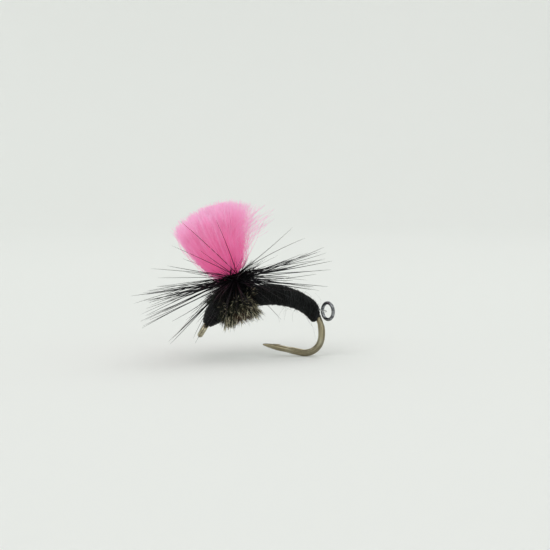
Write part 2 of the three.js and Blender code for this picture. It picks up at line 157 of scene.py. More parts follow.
HACKLE_KEPT_BEHIND = 0.65  # the share kept of the barbs behind the post
SOFT_BARBS, SOFT_R, SOFT_DROOP, SOFT_SCATTER, SOFT_TOP_RISE = 900, (0.012, 0.024), 20, 24, 26
HANGING_BARBS, HANGING_LENGTH, HANGING_R, HANGING_DROOP = 110, (2.0, 4.2), (0.022, 0.032), (24, 66)
BARB_END_R = 0.14  # the share of a barb's radius at its tip

# ---- places


def wire_table():
    """Arc lengths with the heading, x and z of the wire's middle line there."""
    ends = np.cumsum([0] + [length for length, _ in HOOK_ARCS])
    turned = np.cumsum([0] + [turn for _, turn in HOOK_ARCS])
    s = np.arange(0, ends[-1] + TABLE_STEP, TABLE_STEP)
    heading = np.radians(SHANK_HEADING - np.interp(s, ends, turned))
    step = np.diff(s, prepend=0)
    middle = (heading + np.concatenate([heading[:1], heading[:-1]])) / 2
    x = EYE_R * np.cos(heading[0]) + np.cumsum(step * np.cos(middle))
    z = EYE_R * np.sin(heading[0]) + np.cumsum(step * np.sin(middle))
    return s, heading, x, z


TABLE_S, TABLE_HEADING, TABLE_X, TABLE_Z = wire_table()
HOOK_LENGTH = sum(length for length, _ in HOOK_ARCS)


def heading_at(s):
    return np.interp(s, TABLE_S, TABLE_HEADING)


def place(s, out=0.0, side=0.0):
    """Points at arc length s, `out` above the wire and `side` towards +Y, as an array (..., 3)."""
    s, out, side = np.broadcast_arrays(s, out, side)
    h = heading_at(s)
    inside = np.clip(s, 0, HOOK_LENGTH)
    x = np.interp(s, TABLE_S, TABLE_X) + (s - inside) * np.cos(h) - out * np.sin(h)
    z = np.interp(s, TABLE_S, TABLE_Z) + (s - inside) * np.sin(h) + out * np.cos(h)
    return np.stack([x, side, z], -1)


def round_wire(s, r, angle):
    """Points round the wire: angle 0 is outwards, a quarter turn is towards +Y."""
    return place(s, r * np.cos(angle), r * np.sin(angle))


POST_HEADING = float(heading_at(POST_S))
POST_AXIS = np.array([-math.sin(POST_HEADING), 0, math.cos(POST_HEADING)])
POST_BACK = np.array([math.cos(POST_HEADING), 0, math.sin(POST_HEADING)])
POST_NEAR = np.array([0, -1, 0])
POST_FOOT = place(POST_S)


def round_post(r, angle, high):
    """Points round the wing post: angle 0 is towards the bend, a quarter turn is towards -Y."""
    r, angle, high = (np.asarray(v)[..., None] for v in np.broadcast_arrays(r, angle, high))
    return POST_FOOT + POST_BACK * r * np.cos(angle) + POST_NEAR * r * np.sin(angle) + POST_AXIS * high


def ease(t):
    """From 0 to 1 with a soft start and end."""
    t = np.clip(t, 0, 1)
    return t * t * (3 - 2 * t)


def through(values, share):
    """A smooth value through evenly spaced ones."""
    at = np.clip(share, 0, 1) * (len(values) - 1)
    i = np.minimum(np.floor(at).astype(int), len(values) - 2)
    t = ease(at - i)
    values = np.asarray(values)
    return values[i] * (1 - t) + values[i + 1] * t


def body_radius(s):
    return through(BODY_R, (s - BODY_R_FROM) / (BODY_TO - BODY_R_FROM))


def head_radius(s):
    return through(HEAD_R, (s - HEAD_FROM) / (HEAD_TO - HEAD_FROM))


def lean(s, out):
    """Slides the body's rear end forward on its outer side."""
    return s - BODY_LEAN * ease((s - BODY_R_FROM) / (BODY_TO - BODY_R_FROM)) * out


# ---- meshes


def unit(v):
    return v / np.maximum(np.linalg.norm(v, axis=-1, keepdims=True), 1e-12)


def spline(controls, count):
    """Catmull-Rom curves through controls (fibres, points, 3), each sampled at count points."""
    first = 2 * controls[:, :1] - controls[:, 1:2]
    last = 2 * controls[:, -1:] - controls[:, -2:-1]
    p = np.concatenate([first, controls, last], 1)
    at = np.linspace(0, controls.shape[1] - 1, count)
    i = np.minimum(at.astype(int), controls.shape[1] - 2)
    t = (at - i)[None, :, None]
    a, b, c, d = p[:, i], p[:, i + 1], p[:, i + 2], p[:, i + 3]
    return 0.5 * (2 * b + (c - a) * t + (2 * a - 5 * b + 4 * c - d) * t**2 + (3 * b - a - 3 * c + d) * t**3)


def angles_round(count):
    """Angles evenly round one turn."""
    return np.arange(count) * TURN / count


def circles(out, across, sides):
    """Unit circles (n, sides, 3) from their two axes (n, 3)."""
    angle = angles_round(sides)[None, :, None]
    return out[:, None] * np.cos(angle) + across[:, None] * np.sin(angle)


def rings_of(paths, radii, sides, rng=None):
    """Rings of points (fibres, points, sides, 3) round paths (fibres, points, 3)."""
    fibres, points, _ = paths.shape
    tangent = unit(np.gradient(paths, axis=1))
    start = np.tile([0.0, 1.0, 0.0], (fibres, 1)) if rng is None else rng.normal(size=(fibres, 3))
    normal = unit(np.cross(tangent[:, 0], start + 1e-3))
    rings = np.empty((fibres, points, sides, 3))
    radii = np.broadcast_to(radii, (fibres, points))
    for k in range(points):
        t = tangent[:, k]
        normal = unit(normal - t * (normal * t).sum(-1, keepdims=True))
        circle = circles(normal, np.cross(t, normal), sides)
        rings[:, k] = paths[:, k, None] + circle * radii[:, k, None, None]
    return rings


def rings_closed(path, radii, sides):
    """Rings of points (1, points, sides, 3) round one closed flat path."""
    centre = path.mean(0)
    after, before = np.roll(path, -1, 0), np.roll(path, 1, 0)
    tangent = unit(after - before)
    outwards = unit(path - centre)
    circle = circles(outwards, np.cross(tangent, outwards), sides)
    return (path[:, None] + circle * radii[:, None, None])[None]


def faces_of(fibres, points, sides, loop):
    """Corner indices of the quads along each tube and of its two end caps."""
    f = np.arange(fibres)[:, None, None] * points * sides
    k = np.arange(points if loop else points - 1)[None, :, None]
    j = np.arange(sides)[None, None, :]
    here, after = k * sides, ((k + 1) % points) * sides
    ahead = (j + 1) % sides
    quads = np.stack([f + here + j, f + here + ahead, f + after + ahead, f + after + j], -1).reshape(-1, 4)
    if loop:
        return quads, np.empty((0, sides), int)
    base = np.arange(fibres)[:, None] * points * sides
    ring = np.arange(sides)[None, :]
    foot = base + ring[:, ::-1]
    tip = base + (points - 1) * sides + ring
    return quads, np.concatenate([foot, tip])


def uvs_of(points, sides, shade, loop, width=UV_WIDTH):
    """The UV of each face corner, in the order of faces_of."""
    last = points if loop else points - 1
    f = np.asarray(shade, float)[:, None, None]
    k = np.arange(last)[None, :, None]
    j = np.arange(sides)[None, None, :]
    u0 = (f + width * j / sides) + 0 * k
    u1 = (f + width * (j + 1) / sides) + 0 * k
    v0 = k / last + 0 * f + 0 * j
    v1 = (k + 1) / last + 0 * f + 0 * j
    corners = [(u0, v0), (u1, v0), (u1, v1), (u0, v1)]
    quads = np.stack([np.stack(corner, -1) for corner in corners], 3)
    if loop:
        return quads.reshape(-1, 2)
    angle = angles_round(sides)
    caps = []
    for v in (UV_CAP, 1 - UV_CAP):
        u = np.asarray(shade)[:, None] + width * (0.5 + 0.5 * np.cos(angle))
        caps.append(np.stack([u, v + UV_CAP * np.sin(angle) + 0 * u], -1).reshape(-1, 2))
    return np.concatenate([quads.reshape(-1, 2)] + caps)


def piece(name, bundles, material, replaces=(), body="fly", uv=False):
    """One mesh object of bundles of tubes.

    Each is (rings, shades or None, whether its ends join) and, for a wide UV strip, its width.
    """
    points, corners, starts, uvs = [], [], [], []
    base = corner_count = 0
    for rings, shade, loop, *width in bundles:
        fibres, count, sides, _ = rings.shape
        quads, caps = faces_of(fibres, count, sides, loop)
        points.append(rings.reshape(-1, 3) * MM)
        for faces in (quads, caps):
            corners.append((faces + base).ravel())
            starts.append(corner_count + np.arange(len(faces)) * faces.shape[1])
            corner_count += faces.size
        if uv:
            uvs.append(uvs_of(count, sides, shade, loop, *width))
        base += fibres * count * sides
    points, corners, starts = np.concatenate(points), np.concatenate(corners), np.concatenate(starts)
    mesh = bpy.data.meshes.new(name)
    mesh.vertices.add(len(points))
    mesh.vertices.foreach_set("co", points.ravel())
    mesh.loops.add(len(corners))
    mesh.loops.foreach_set("vertex_index", corners.astype(np.int32))
    mesh.polygons.add(len(starts))
    mesh.polygons.foreach_set("loop_start", starts.astype(np.int32))
    mesh.update(calc_edges=True)
    mesh.polygons.foreach_set("use_smooth", np.ones(len(starts), bool))
    if uv:
        mesh.uv_layers.new(name=UV_MAP).data.foreach_set("uv", np.concatenate(uvs).ravel())
    mesh.validate()
    mesh.materials.append(material)
    made = bpy.data.objects.new(name, mesh)
    bpy.context.scene.collection.objects.link(made)
    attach(made, body)
    if replaces:
        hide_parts(*replaces)


def winding(at, turns, radius, per_turn, sides=6):
    """A thread's rings along a helix: at(share, angle) is its middle line."""
    count = int(turns * per_turn)
    share = np.linspace(0, 1, count)
    path = at(share, share * turns * TURN)
    return rings_of(path[None], radius, sides)


# ---- materials


class Nodes:
    """A Principled material and short calls for the nodes that feed it."""

    def __init__(self, name, **values):
        self.material = bpy.data.materials.new(name)
        self.material.use_nodes = True
        self.tree = self.material.node_tree
        self.shader = self.tree.nodes["Principled BSDF"]
        for socket, value in values.items():
            self.shader.inputs[socket.replace("_", " ")].default_value = value

    def add(self, kind, **settings):
        node = self.tree.nodes.new("ShaderNode" + kind)
        for key, value in settings.items():
            setattr(node, key, value)
        return node

    def link(self, source, target):
        self.tree.links.new(source, target)

    def feed(self, socket, source):
        self.link(source, self.shader.inputs[socket])

    def coordinates(self):
        return self.add("TexCoord").outputs["Object"]

    def fibre_uv(self):
        """The outputs (shade, along) of a fibre's UV map."""
        uv = self.add("UVMap", uv_map=UV_MAP)
        split = self.add("SeparateXYZ")
        self.link(uv.outputs["UV"], split.inputs[0])
        return split.outputs["X"], split.outputs["Y"]

    def noise(self, scale, detail=3.0, vector=None, stretch=None):
        vector = vector or self.coordinates()
        if stretch:
            mapping = self.add("Mapping")
            mapping.inputs["Scale"].default_value = stretch
            self.link(vector, mapping.inputs["Vector"])
            vector = mapping.outputs[0]
        node = self.add("TexNoise")
        node.inputs["Scale"].default_value = scale
        node.inputs["Detail"].default_value = detail
        self.link(vector, node.inputs["Vector"])
        return node.outputs["Fac"]

    def ramp(self, source, *stops):
        node = self.add("ValToRGB")
        elements = node.color_ramp.elements
        while len(elements) < len(stops):
            elements.new(0.5)
        for element, (at, colour) in zip(elements, stops):
            element.position = at
            element.color = (*colour, 1)
        self.link(source, node.inputs["Fac"])
        return node.outputs["Color"]

    def mix(self, share, a, b, blend="MIX"):
        """Colours a and b mixed by share."""
        node = self.add("Mix", data_type="RGBA", blend_type=blend)
        for value, socket in ((share, 0), (a, 6), (b, 7)):
            if isinstance(value, (int, float)):
                node.inputs[socket].default_value = value
            elif isinstance(value, tuple):
                node.inputs[socket].default_value = (*value, 1)
            else:
                self.link(value, node.inputs[socket])
        return node.outputs[2]

    def span(self, source, low, high):
        """source from 0 to 1 stretched to run from low to high."""
        node = self.add("MapRange")
        node.inputs["To Min"].default_value = low
        node.inputs["To Max"].default_value = high
        self.link(source, node.inputs["Value"])
        return node.outputs[0]

    def bump(self, height, distance):
        node = self.add("Bump")
        node.inputs["Distance"].default_value = distance
        node.inputs["Strength"].default_value = 1.0
        self.link(height, node.inputs["Height"])
        self.feed("Normal", node.outputs[0])


def grey(value):
    return (value, value, value)


def yarn_material():
    n = Nodes("pink_yarn", Roughness=0.6, Specular_IOR_Level=0.3, Sheen_Weight=0.15)
    n.shader.inputs["Sheen Tint"].default_value = (1, 0.75, 0.88, 1)
    shade, along = n.fibre_uv()
    # Painted shade and light: the fibres are deeper pink at their roots, in the fan's dense foot, and paler
    # towards their tips.
    length = n.ramp(
        along,
        (0.0, (0.82, 0.1, 0.36)),
        (0.3, (0.93, 0.2, 0.52)),
        (0.65, (0.96, 0.34, 0.64)),
        (1.0, (0.98, 0.56, 0.8)),
    )
    own = n.ramp(n.noise(900, 2), (0.3, grey(0.9)), (0.7, grey(1.0)))
    spread = n.ramp(shade, (0.0, (0.93, 0.84, 0.89)), (0.4, (1, 1, 1)), (1.0, (1, 1, 1)))
    colour = n.mix(1.0, n.mix(1.0, length, spread, "MULTIPLY"), own, "MULTIPLY")
    n.feed("Base Color", colour)
    # The dye is fluorescent; it is drawn as a weak emission in its own colour, a painted glow that also
    # makes up for the shade the fibres cast on each other.
    n.feed("Emission Color", n.mix(1.0, colour, (1, 0.6, 0.72), "MULTIPLY"))
    n.shader.inputs["Emission Strength"].default_value = 0.2
    return n.material


def hackle_material(name, roughness, gloss):
    n = Nodes(name, Roughness=roughness, Specular_IOR_Level=gloss)
    shade, along = n.fibre_uv()
    # Painted light: the tips are lighter brown-grey, standing in for light that shines through the thin
    # tips.
    length = n.ramp(
        along,
        (0.0, (0.004, 0.005, 0.006)),
        (0.6, (0.007, 0.008, 0.01)),
        (1.0, (0.03, 0.027, 0.026)),
    )
    spread = n.ramp(shade, (0.0, (0.5, 0.55, 0.6)), (0.6, (1, 1, 1)), (1.0, (1.6, 1.45, 1.3)))
    n.feed("Base Color", n.mix(1.0, length, spread, "MULTIPLY"))
    return n.material


def herl_material():
    n = Nodes("peacock_herl", Roughness=0.36, Specular_IOR_Level=0.6, Metallic=0.25)
    shade, along = n.fibre_uv()
    own = n.ramp(
        shade,
        (0.0, (0.004, 0.006, 0.004)),
        (0.3, (0.01, 0.017, 0.01)),
        (0.48, (0.04, 0.048, 0.018)),
        (0.66, (0.11, 0.1, 0.045)),
        (0.76, (0.09, 0.034, 0.02)),
        (0.86, (0.1, 0.04, 0.024)),
        # Pale strands: painted glints off the shiny flue.
        (0.92, (0.74, 0.69, 0.52)),
    )
    # Painted shade and light: the flue is darker at its root, deep in the dense flue by the stem, and
    # lighter at its tips.
    length = n.ramp(along, (0.0, grey(0.3)), (0.5, grey(0.9)), (1.0, (1.3, 1.28, 1.2)))
    n.feed("Base Color", n.mix(1.0, own, length, "MULTIPLY"))
    return n.material


def wool_material():
    n = Nodes("black_wool", Roughness=0.85, Specular_IOR_Level=0.15, Sheen_Weight=0.07, Sheen_Roughness=0.5)
    shade, along = n.fibre_uv()
    own = n.ramp(
        shade,
        (0.0, (0.001, 0.0013, 0.0014)),
        (0.7, (0.004, 0.005, 0.0052)),
        (1.0, (0.03, 0.034, 0.035)),
    )
    ends = n.ramp(along, (0.0, grey(0.7)), (0.5, grey(1.0)), (1.0, grey(1.4)))
    n.feed("Base Color", n.mix(1.0, own, ends, "MULTIPLY"))
    return n.material


def thread_material(name, roughness):
    n = Nodes(name, Roughness=roughness, Specular_IOR_Level=0.2)
    strands = n.noise(9000, 2, stretch=(1, 0.25, 1))
    n.feed("Base Color", n.ramp(strands, (0.3, (0.002, 0.0025, 0.003)), (0.7, (0.009, 0.01, 0.012))))
    n.feed("Roughness", n.span(n.noise(2500), roughness - 0.08, roughness + 0.08))
    n.bump(strands, 0.012 * MM)
    return n.material


def bronze_material():
    n = Nodes("bronzed_wire", Metallic=1.0)
    wire = n.add("UVMap", uv_map=UV_MAP).outputs["UV"]
    drawn = n.noise(1, 5, wire, (60, 9, 1))
    # Painted reflection: wide darker bands along the wire stand in for dark surroundings mirrored in the
    # metal; the drawn streaks are the wire's drawing marks and also paint long highlights along it.
    reflection_band_noise = n.noise(1, 2, wire, (14, 5, 1))
    stain = n.noise(500, 3)
    colour = n.ramp(stain, (0.3, (0.36, 0.3, 0.18)), (0.55, (0.54, 0.48, 0.33)), (0.75, (0.7, 0.66, 0.5)))
    drawn_marks_and_highlights = n.ramp(drawn, (0.35, grey(0.45)), (0.62, grey(1.0)))
    painted_dark_reflections = n.ramp(reflection_band_noise, (0.35, grey(0.3)), (0.6, grey(1.0)))
    n.feed("Base Color", n.mix(0.7, n.mix(0.8, colour, drawn_marks_and_highlights, "MULTIPLY"), painted_dark_reflections, "MULTIPLY"))
    n.feed("Roughness", n.span(drawn, 0.16, 0.4))
    n.bump(drawn, 0.01 * MM)
    return n.material


def steel_material():
    n = Nodes("ring_steel", Metallic=1.0)
    scuffs = n.noise(2600, 4, stretch=(1, 1, 2.5))
    n.feed("Base Color", n.ramp(scuffs, (0.3, (0.1, 0.105, 0.115)), (0.7, (0.34, 0.35, 0.37))))
    n.feed("Roughness", n.span(scuffs, 0.2, 0.4))
    n.bump(scuffs, 0.004 * MM)
    return n.material


def nylon_material():
    n = Nodes("clear_nylon", Transmission_Weight=0.85, IOR=1.53)
    haze = n.noise(1800, 3)
    n.feed("Base Color", n.ramp(haze, (0.3, (0.8, 0.82, 0.82)), (0.7, (0.95, 0.96, 0.96))))
    n.feed("Roughness", n.span(haze, 0.06, 0.2))
    return n.material


def cement_material():
    """Cement that has soaked into black thread, so only its gloss shows."""
    n = Nodes("head_cement", Specular_IOR_Level=0.12)
    pooled = n.noise(900, 3)
    n.feed("Base Color", n.ramp(pooled, (0.3, (0.002, 0.0025, 0.003)), (0.7, (0.005, 0.0055, 0.0065))))
    n.feed("Roughness", n.span(pooled, 0.16, 0.4))
    n.bump(pooled, 0.02 * MM)
    return n.material


def stage_material():
    n = Nodes("studio_floor", Roughness=0.9, Specular_IOR_Level=0.1)
    n.feed("Base Color", n.ramp(n.noise(3, 2), (0.3, (0.8, 0.815, 0.8)), (0.7, (0.82, 0.83, 0.82))))
    return n.material


# ---- wire and nylon


def forging(s):
    """How flat the wire is pressed, from 0 to 1."""
    return ease((s - FORGED_FROM) / FORGED_EASE) * (1 - ease((s - FORGED_TO + FORGED_EASE) / FORGED_EASE))


def wire_radius(s):
    taper = np.clip((HOOK_LENGTH - s) / POINT_LENGTH, 0, 1)
    return np.where(taper >= 1, WIRE_R, POINT_TIP_R + (WIRE_R - POINT_TIP_R) * np.sqrt(taper))


def hook_wire():
    """The hook's wire from the eye to the point, pressed flat round the bend."""
    # Rings stand closer towards the tip.
    near_point = HOOK_LENGTH - POINT_LENGTH * (1 - np.linspace(0, 1, 40)) ** 1.6
    s = np.concatenate([np.arange(0, near_point[0], WIRE_STEP), near_point])[:, None]
    angle = angles_round(WIRE_SIDES)[None]
    pressed = forging(s)
    half = WIRE_R + (FORGED_HALF - WIRE_R) * pressed
    r = wire_radius(s)
    out = r * np.cos(angle) * (1 + (FORGED_WIDEN - 1) * pressed)
    side = np.clip(r * np.sin(angle), -half, half)
    return place(s, out, side)[None]


def hook_eye():
    """The wire bent round into the eye, its cut end resting against the shank."""
    turn = np.radians(np.linspace(EYE_OPENING, 360 - EYE_OPENING, 72))
    h = math.radians(SHANK_HEADING)
    ahead = np.array([math.cos(h), 0, math.sin(h)])
    path = EYE_R * (ahead * np.cos(turn)[:, None] + np.array([0, 1, 0]) * np.sin(turn)[:, None])
    from_end = np.clip(np.minimum(turn - turn[0], turn[-1] - turn) / math.radians(EYE_END), 0, 1)
    section = EYE_END_R + (1 - EYE_END_R) * from_end
    return rings_of(path[None], EYE_WIRE_R * np.sqrt(section), 24)


def hook_barb():
    """A sliver cut up from the inside of the point, leaning back towards the bend."""
    share = np.linspace(0, 1, 9)[:, None]
    root = HOOK_LENGTH - BARB_BACK
    s = root + BARB_ROOT - (BARB_LENGTH + BARB_ROOT) * share
    inside = -float(wire_radius(root)) * BARB_DEPTH
    lift = inside - BARB_LIFT * share**1.3
    half_high = BARB_HALF_HIGH * (1 - share) + BARB_TIP
    half_wide = BARB_HALF_WIDE * (1 - share) ** 0.7 + BARB_TIP
    angle = angles_round(8)[None]
    return place(s, lift + half_high * np.cos(angle), half_wide * np.sin(angle))[None]


def build_hook(bronze):
    bundles = [
        (hook_wire(), [0.0], False, 0.6),
        (hook_eye(), [0.64], False, 0.2),
        (hook_barb(), [0.88], False, 0.1),
    ]
    piece("hook_wire", bundles, bronze, ["hook"], uv=True)


def build_ring(steel):
    """The ring, with the low bead and the nick of its weld on the far side from the loop."""
    turn = np.linspace(0, TURN, 160, endpoint=False)
    yaw = math.radians(-RING_TURNED)
    ahead = np.array([math.cos(yaw), math.sin(yaw), 0])
    round_centre = ahead * np.cos(turn)[:, None] + np.array([0, 0, 1]) * np.sin(turn)[:, None]
    path = BIGHT + ahead * RING_R + RING_R * round_centre
    bead = WELD_HIGH * np.exp(-(((turn - WELD_AT) / WELD_WIDE) ** 2))
    nick = NICK_DEEP * np.exp(-(((turn - NICK_AT) / NICK_WIDE) ** 2))
    rings = rings_closed(path, RING_WIRE_R * (1 + bead - nick), 28)
    piece("ring", [(rings, None, True)], steel, ["tippet_ring"], body="ring")


def nylon_path():
    """From the end of one tail, along the shank, round the bight and back along the other tail."""
    dip = math.radians(-LOOP_DIP)
    aim = np.array([math.cos(dip), 0, math.sin(dip)])
    side = np.array([0, 1.0, 0])
    root = BIGHT - aim * (LOOP_LEG + GAP)
    lying = np.arange(TAIL_FROM, TAIL_TO, TAIL_STEP)

    def tail(sign):
        on_shank = place(lying, TAIL_OUT, sign * TAIL_SIDE)
        leaving = place(LEAVING_S, TAIL_OUT, sign * LEAVING_SIDE)
        nearly = root - aim * LOOP_RUN_IN + side * sign * LOOP_R + np.array([0, 0, LOOP_RISE])
        return np.vstack([on_shank, leaving, nearly])

    bend = np.radians(np.arange(-90, 91, 15))[:, None]
    bight = BIGHT + LOOP_R * (aim * np.cos(bend) + side * np.sin(bend))
    legs = [BIGHT - aim * LOOP_LEG + side * sign * LOOP_R for sign in (-1, 1)]
    return np.vstack([tail(-1), legs[0][None], bight, legs[1][None], tail(1)[::-1]])


def build_nylon(nylon):
    rings = rings_of(spline(nylon_path()[None], 320), NYLON_R, 20)
    nodes = ["mono_loop", "loop_tail_near", "loop_tail_far"]
    piece("nylon_loop", [(rings, None, False)], nylon, nodes)


# ---- thread


def thread_piece(name, tubes, thread, node):
    piece(name, [(rings, None, False) for rings in tubes], thread, [node])


def build_shank_thread(waxed):
    def at(share, angle):
        return round_wire(BASE_FROM + (BASE_TO - BASE_FROM) * share, BASE_R - THREAD_R, angle)

    count = (BASE_TO - BASE_FROM) / (2.1 * THREAD_R)
    thread_piece("shank_thread", [winding(at, count, THREAD_R, 14, 5)], waxed, "thread_base")


def head_wraps(rng, s_from, s_to):
    """Touching turns with a few that cross over them, and the plug that they lie on."""

    def cone(start, end, lift):
        # The turns wander a little along the head, slowly and once in each turn.
        wander = rng.uniform(-1, 1, 3)

        def at(share, angle):
            s = start + (end - start) * share
            s = s + 0.02 * wander[0] * np.sin(angle * 0.37 + wander[1])
            s = s + 0.015 * np.sin(angle + wander[2] * 3)
            return round_wire(s, head_radius(s) - THREAD_R + lift, angle)

        return at

    length = s_to - s_from
    touching = winding(cone(s_from, s_to, 0), length / (2 * THREAD_R), THREAD_R, 30)
    crossing = winding(cone(s_to, s_from, THREAD_R * 0.5), length / (7 * THREAD_R), THREAD_R, 30)
    s = np.linspace(s_from, s_to, 12)[:, None]
    plug = round_wire(s, head_radius(s) - THREAD_R * 1.3, angles_round(PLUG_SIDES)[None])[None]
    return [touching, crossing, plug]


def build_rear_thread(waxed):
    """Turns behind the body over a leaning plug."""

    def leaning(s, r, angle):
        return round_wire(lean(s, r * np.cos(angle)), r, angle)

    def at(share, angle):
        s = BODY_TO - REAR_LAP + (REAR_TO - BODY_TO + REAR_LAP) * share
        return leaning(s, REAR_R - REAR_FALL * share**1.5, angle)

    s = np.linspace(BODY_TO - 0.15, REAR_TO, 6)[:, None]
    share = (s - s.min()) / (s.max() - s.min())
    inner = REAR_R - 0.02 - (REAR_FALL + 0.04) * share**1.5
    plug = leaning(s, inner, angles_round(PLUG_SIDES)[None])[None]
    thread_piece("rear_thread", [winding(at, REAR_TURNS, THREAD_R, 36), plug], waxed, "rear_wraps")


def build_post_thread(waxed):
    """The collar up the post's foot, and the turns that tie the feather off on it."""

    def collar(share, angle):
        return round_post(COLLAR_R - THREAD_R, angle, COLLAR_FROM + (COLLAR_TO - COLLAR_FROM) * share)

    def tie(share, angle):
        return round_post(TIE_R, angle, TIE_FROM + (TIE_TO - TIE_FROM) * share)

    count = (COLLAR_TO - COLLAR_FROM) / (2 * THREAD_R)
    thread_piece("post_thread", [winding(collar, count, THREAD_R, 28)], waxed, "post_collar")
    thread_piece("tie_off_thread", [winding(tie, TIE_TURNS, THREAD_R, 28)], waxed, "hackle_tie_off")


def build_thread(waxed, cemented):
    rng = np.random.default_rng(3)
    build_shank_thread(waxed)
    thread_piece("whip_knot", head_wraps(rng, HEAD_FROM, WHIP_TO), cemented, "whip_finish")
    thread_piece("head_thread", head_wraps(rng, WHIP_TO, HEAD_TO), cemented, "head_wraps")
    build_rear_thread(waxed)
    build_post_thread(waxed)


def build_cement(cement):
    """A closed skin over the front of the head, a little thicker where it pooled underneath."""
    steps = 90
    s = np.linspace(HEAD_FROM - 0.02, CEMENT_TO, steps)
    angle = angles_round(48)
    under = head_radius(s) + CEMENT_RIPPLE * np.cos(TURN * s / (2 * THREAD_R)) + CEMENT_OVER
    thick = CEMENT_THICK * np.sin(np.linspace(0.2, 3.0, steps))
    s_ring = np.concatenate([s, s[::-1]])[:, None]
    r_ring = np.concatenate([under, (under + thick)[::-1]])[:, None]
    outer = np.linspace(0, 1, 2 * steps)[:, None]
    pooled = 1 + CEMENT_POOLED * np.cos(angle + math.pi)[None] * outer
    skin = round_wire(s_ring, r_ring * pooled, angle[None])
    piece("cement_skin", [(skin[None], None, True)], cement, ["head_cement"])


# ---- body


def body_end(s):
    """The share of its radius that the body keeps where its rear end rounds off."""
    left = np.clip((BODY_TO - s) / BODY_END_LENGTH, 0, 1)
    return BODY_END_R + (1 - BODY_END_R) * np.sqrt(left)


def body_core():
    """The body under its fibres, with the ridges of the wound strand and uneven lumps."""
    s = np.linspace(BODY_FROM, BODY_TO, 90)[:, None]
    angle = angles_round(48)[None]
    ridge = 0.5 + 0.5 * np.cos(TURN * s / STRAND_PITCH + angle)
    lump = 0.5 * np.sin(2.1 * s + 2 * angle) + 0.5 * np.sin(3.7 * s - angle + 1)
    r = (body_radius(s) - CORE_UNDER + CORE_RIDGE * ridge + CORE_LUMP * lump) * body_end(s)
    return round_wire(lean(s, r * np.cos(angle)), r, angle)[None]


def lying_fibres(rng, count, points):
    """Fibres that lie round the body with the twist of the wound strand."""
    start = rng.uniform(BODY_FROM, BODY_TO - 0.08, count)[:, None]
    phase = rng.uniform(0, TURN, count)[:, None]
    t = np.linspace(0, 1, points)[None]
    sweep = rng.uniform(1.2, 3.4, count)[:, None]
    drift = rng.normal(0.1, 0.42, count)[:, None]
    wander = rng.uniform(0, TURN, (count, 1))
    around = phase + sweep * t
    along = np.clip(start + drift * t + 0.05 * np.sin(5 * t + wander), BODY_FROM, BODY_TO)
    depth = rng.uniform(-0.06, 0.0, count)[:, None]
    rise = 0.03 * np.sin(math.pi * t) + 0.015 * np.cos(TURN * along / STRAND_PITCH + around)
    r = (body_radius(along) + depth + rise - 0.02) * body_end(along)
    paths = round_wire(lean(along, r * np.cos(around)), r, around)
    thickness = rng.uniform(*WOOL_FIBRE_R, count)[:, None] * (1 - 0.5 * np.abs(2 * t - 1) ** 3)
    return rings_of(paths, thickness, 3, rng), rng.uniform(0, 0.95, count), False


def loose_fibres(rng, count, lengths, thickness, curl, points):
    """Fibres that stand off the body, bending and curling as they go."""
    s = rng.uniform(BODY_FROM + 0.3, BODY_TO - 0.1, count)
    angle = rng.uniform(0, TURN, count)
    r = body_radius(s) - 0.05
    root = round_wire(lean(s, r * np.cos(angle)), r, angle)
    away = unit(root - place(lean(s, r * np.cos(angle))))
    side = unit(np.cross(away, rng.normal(size=(count, 3))))
    up = unit(np.cross(side, away))
    length = rng.uniform(*lengths, count)[:, None]
    lean_out = rng.uniform(0.2, 0.8, count)[:, None]
    path = [root]
    heading = unit(away * lean_out + side * (1 - lean_out))
    steps = 8
    bend = rng.normal(0, curl * 0.5, (count, 1))
    for k in range(steps):
        bend = bend + rng.normal(0, curl * 0.35, (count, 1))
        heading = unit(heading + up * bend * 0.5 + side * np.sin(k * 0.9) * 0.35 * curl)
        path.append(path[-1] + heading * length / steps)
    paths = spline(np.stack(path, 1), points)
    taper = np.linspace(1, 0.5, points)[None] * thickness
    return rings_of(paths, taper, 3, rng), rng.uniform(0.5, 0.95, count), False


def build_abdomen(wool):
    rng = np.random.default_rng(5)
    bundles = [
        (body_core(), np.full(1, 0.2), False),
        lying_fibres(rng, WOOL_FIBRES, 15),
        loose_fibres(rng, FUZZ_FIBRES, FUZZ_LENGTH, FUZZ_R, 0.4, 8),
        loose_fibres(rng, LOOSE_FIBRES, LOOSE_LENGTH, LOOSE_R, 1.0, 18),
    ]
    piece("wool_body", bundles, wool, ["abdomen"], uv=True)


# ---- herl


def herl_quill(share):
    """Arc length, radius and angle of the herl's stem as it is wound back over the thorax."""
    s = HERL_FROM - 0.15 + (HERL_TO - HERL_FROM + 0.1) * share
    r = HERL_CORE_R + HERL_BULGE * np.sin(math.pi * np.clip(share * 1.05, 0, 1))
    return s, r, share * HERL_TURNS * TURN


def flue_shades(rng, s, angle):
    """Places on the herl's ramp: most nearly black, on top as painted shade; underneath, single strands
    olive, brown or pale, the pale ones painted glints.
    """
    dark = rng.choice([0.05, 0.25, 0.42], len(s), p=[0.6, 0.32, 0.08])
    # 0.95 is a pale strand, a painted glint.
    strands, shares = [0.05, 0.25, 0.42, 0.58, 0.66, 0.95], [0.3, 0.2, 0.13, 0.1, 0.06, 0.21]
    flecked = rng.choice(strands, len(s), p=shares)
    # On top most strands stay nearly black, a painted shade where the hackle hangs over the thorax;
    # underneath and towards the rear, more take the flecked shades.
    flecked_underneath_shaded_on_top = np.clip(0.45 - 0.75 * np.cos(angle) + 0.15 * (s - HERL_MIDDLE), 0, 1)
    shade = np.where(rng.uniform(size=len(s)) < flecked_underneath_shaded_on_top, flecked, dark)
    under_middle = (np.cos(angle) < -0.45) & (np.abs(s - HERL_MIDDLE) < 0.7)
    brown = under_middle & (rng.uniform(size=len(s)) < 0.5)
    return np.clip(np.where(brown, 0.8, shade) + rng.normal(0, 0.03, len(s)), 0, 0.97)


